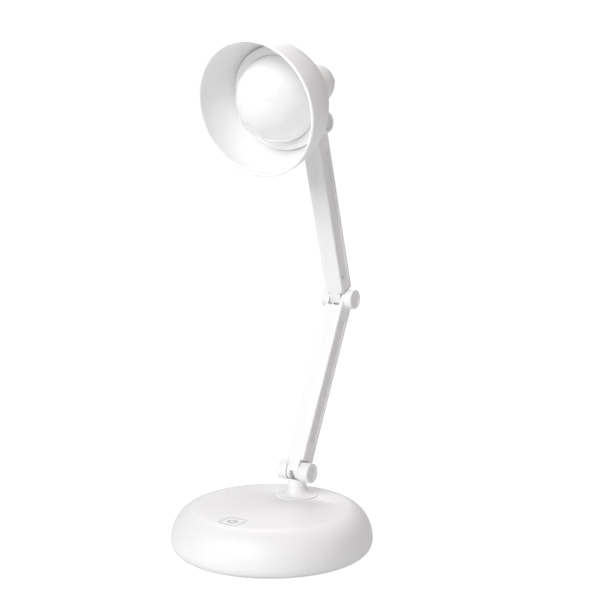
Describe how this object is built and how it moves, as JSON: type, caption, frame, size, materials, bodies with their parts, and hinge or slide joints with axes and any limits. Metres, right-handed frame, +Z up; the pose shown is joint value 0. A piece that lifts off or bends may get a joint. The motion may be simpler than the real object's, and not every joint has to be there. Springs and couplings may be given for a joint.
{
  "type": "folding desk lamp",
  "caption": "Rechargeable desk lamp: round weighted base, two friction-hinged arms and a bowl shade round a frosted dome.",
  "frame": {"origin": "centre of the base on the surface that the lamp stands on", "axes": "+Z up, -Y the lamp's front where the touch mark is and where the shade points, all hinge axes along X"},
  "size_m": [0.12, 0.1402, 0.2989],
  "materials": {
    "white_abs": "satin",
    "frosted_dome": "frosted",
    "pad_rubber": "matte",
    "black_foam": "matte",
    "iron": "rough",
    "cell_foil": "satin",
    "board_green": "gloss",
    "chip_black": "matte",
    "board_aluminium": "satin",
    "chip_amber": "gloss",
    "wire_skin": "satin",
    "nylon": "matte",
    "zinc_steel": "zinc plated"
  },
  "bodies": {
    "base": {"base_shell": "white_abs", "base_cover": "white_abs", "base_cover_screws": "zinc_steel", "anti_slip_pad": "pad_rubber", "counterweight": "iron", "weight_screws": "zinc_steel", "battery_foam": "black_foam", "battery_cell": "cell_foil", "battery_wires": "wire_skin", "control_board": "board_green", "control_board_parts": "chip_black", "control_board_screws": "zinc_steel", "usb_socket": "zinc_steel", "touch_board": "board_green", "touch_spring": "zinc_steel", "touch_board_screws": "zinc_steel", "touch_wires": "wire_skin", "neck": "white_abs", "neck_washer": "zinc_steel", "neck_nut": "zinc_steel", "base_wires": "wire_skin", "base_hinge_bolt": "zinc_steel", "base_hinge_nut": "zinc_steel", "base_hinge_spring_washer": "zinc_steel", "base_hinge_friction_washers": "nylon", "base_hinge_caps": "white_abs"},
    "lower_arm": {"lower_arm_frame": "white_abs", "lower_arm_cover": "white_abs", "lower_arm_screws": "zinc_steel", "lower_arm_wires": "wire_skin", "elbow_bolt": "zinc_steel", "elbow_nut": "zinc_steel", "elbow_spring_washer": "zinc_steel", "elbow_friction_washers": "nylon", "elbow_caps": "white_abs"},
    "upper_arm": {"upper_arm_frame": "white_abs", "upper_arm_cover": "white_abs", "upper_arm_screws": "zinc_steel", "upper_arm_wires": "wire_skin", "head_hinge_bolt": "zinc_steel", "head_hinge_nut": "zinc_steel", "head_hinge_spring_washer": "zinc_steel", "head_hinge_friction_washers": "nylon", "head_hinge_caps": "white_abs"},
    "head": {"shade": "white_abs", "dome_ring": "white_abs", "diffuser_dome": "frosted_dome", "led_board": "board_aluminium", "led_chips": "chip_amber", "led_board_screws": "zinc_steel", "head_housing": "white_abs", "housing_screws": "zinc_steel", "head_wires": "wire_skin"}
  },
  "joints": [
    {"name": "base_hinge", "type": "hinge", "parent": "base", "child": "lower_arm", "pos_m": [0, 0.0263, 0.041], "axis": [1, 0, 0], "range_deg": [-59, 85]},
    {"name": "elbow", "type": "hinge", "parent": "lower_arm", "child": "upper_arm", "pos_m": [0, 0.07409, 0.14119], "axis": [1, 0, 0], "range_deg": [-130, 43]},
    {"name": "head_hinge", "type": "hinge", "parent": "upper_arm", "child": "head", "pos_m": [0, 0.04266, 0.25077], "axis": [1, 0, 0], "range_deg": [-75, 55]}
  ]
}
